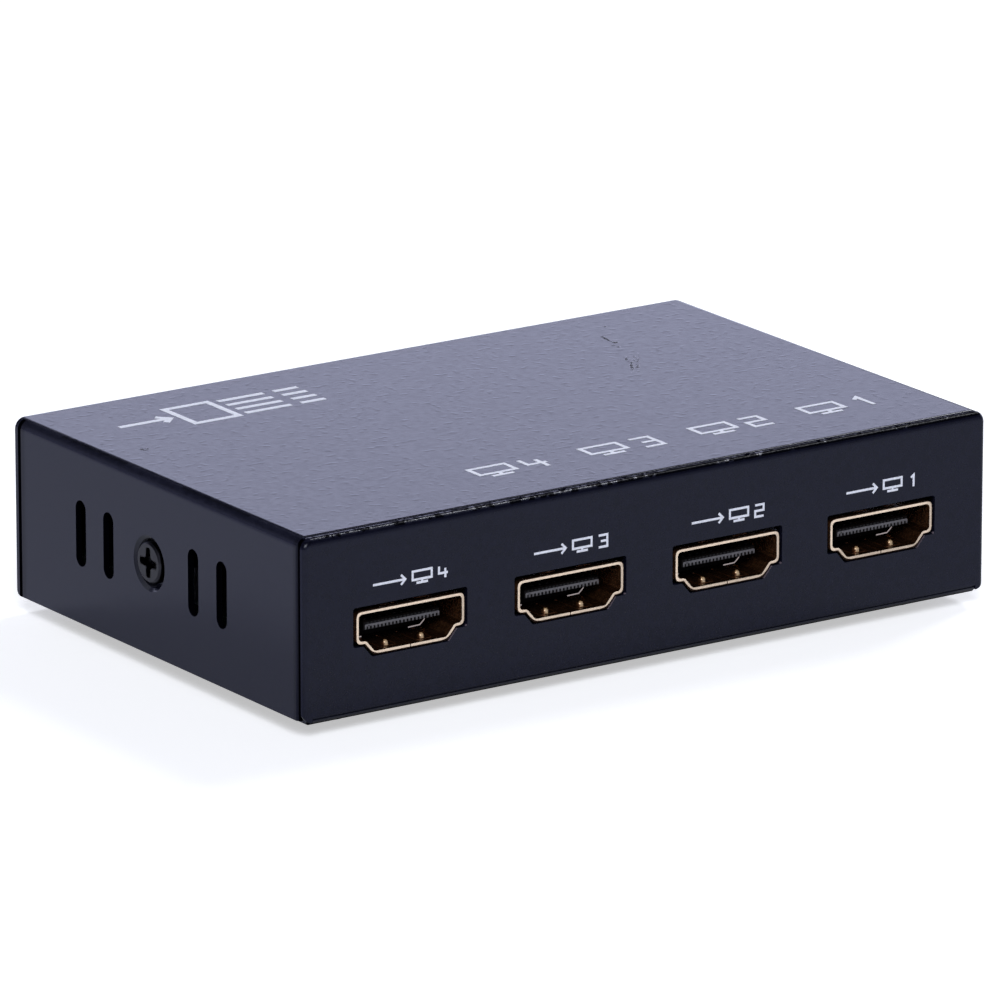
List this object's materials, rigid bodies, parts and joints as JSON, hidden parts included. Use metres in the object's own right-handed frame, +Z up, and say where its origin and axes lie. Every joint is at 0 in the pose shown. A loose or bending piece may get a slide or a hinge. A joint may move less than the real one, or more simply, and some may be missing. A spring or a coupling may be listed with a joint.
{
  "type": "hdmi splitter",
  "caption": "Flat black sheet-metal video splitter box with a row of stepped output sockets in front, input socket and power inlet behind, side vents, recessed cover screws and rubber feet.",
  "frame": {"origin": "under the middle of the case, on the plane the rubber feet stand on", "axes": "+X to the right along the front panel as seen from the outputs, +Y from the outputs to the rear panel, +Z up"},
  "size_m": [0.096, 0.0616, 0.0237],
  "materials": {
    "painted_steel": "fine textured black powder coat",
    "gold_plate": "thin gold plate, satin",
    "tin_plate": "tin plate",
    "black_zinc": "black zinc, satin",
    "black_plastic": "moulded black",
    "chip_plastic": "matt moulded epoxy",
    "rubber": "matt",
    "board": "green solder mask",
    "aluminium_can": "satin",
    "steel_can": "satin",
    "ceramic_chip": "ceramic",
    "red_lens": "diffused red"
  },
  "bodies": {
    "root": {"top_cover": "painted_steel", "base_tray": "painted_steel", "cover_screws": "black_zinc", "rubber_feet": "rubber", "board_standoffs": "tin_plate", "board_screws": "tin_plate", "main_board": "board", "output_1_shell": "gold_plate", "output_1_insulator": "black_plastic", "output_1_contacts": "tin_plate", "output_2_shell": "gold_plate", "output_2_insulator": "black_plastic", "output_2_contacts": "tin_plate", "output_3_shell": "gold_plate", "output_3_insulator": "black_plastic", "output_3_contacts": "tin_plate", "output_4_shell": "gold_plate", "output_4_insulator": "black_plastic", "output_4_contacts": "tin_plate", "input_shell": "gold_plate", "input_insulator": "black_plastic", "input_contacts": "tin_plate", "dc_jack_housing": "black_plastic", "dc_jack_pin": "tin_plate", "dc_jack_spring": "tin_plate", "power_light": "red_lens", "power_light_leads": "tin_plate", "splitter_chip": "chip_plastic", "splitter_chip_leads": "tin_plate", "memory_chips": "chip_plastic", "memory_chip_leads": "tin_plate", "voltage_regulators": "chip_plastic", "regulator_leads": "tin_plate", "capacitor_cans": "aluminium_can", "capacitor_bases": "black_plastic", "crystal": "steel_can", "input_diode": "chip_plastic", "surge_arrays": "chip_plastic", "chip_capacitors": "ceramic_chip", "chip_resistors": "chip_plastic"}
  },
  "joints": []
}
